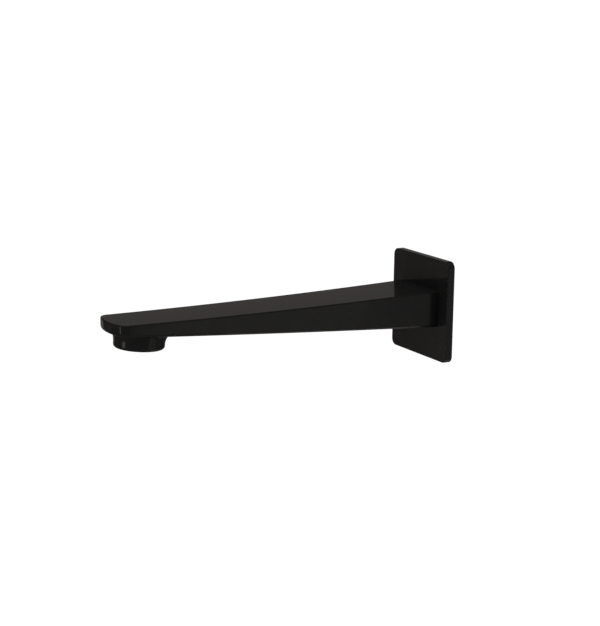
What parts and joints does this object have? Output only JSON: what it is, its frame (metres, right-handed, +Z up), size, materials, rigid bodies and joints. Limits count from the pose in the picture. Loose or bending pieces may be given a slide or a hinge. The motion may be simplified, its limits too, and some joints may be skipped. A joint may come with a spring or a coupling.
{
  "type": "bath spout",
  "caption": "Wall-mounted bath spout: a tapered flat arm with a rounded tip and a round outlet below it, on a square wall plate with a threaded inlet behind.",
  "frame": {"origin": "where the inlet axis meets the wall face, which is the back of the wall plate", "axes": "+Y into the wall along the inlet thread, the arm runs out along -Y, +Z up, +X to the side"},
  "size_m": [0.06, 0.2149, 0.06],
  "materials": {
    "black_coat": "satin black coat on cast brass",
    "rubber": "matt black rubber",
    "brass": "plain turned brass",
    "steel": "plain stainless steel",
    "insert_plastic": "moulded dark grey plastic",
    "housing_plastic": "moulded black plastic"
  },
  "bodies": {
    "root": {"spout_body": "black_coat", "wall_plate": "black_coat", "plate_gasket": "rubber", "inlet_adapter": "brass", "spigot_seal": "rubber", "set_screw": "steel", "outlet_seal": "rubber", "flow_straightener": "insert_plastic", "outlet_housing": "housing_plastic"}
  },
  "joints": []
}
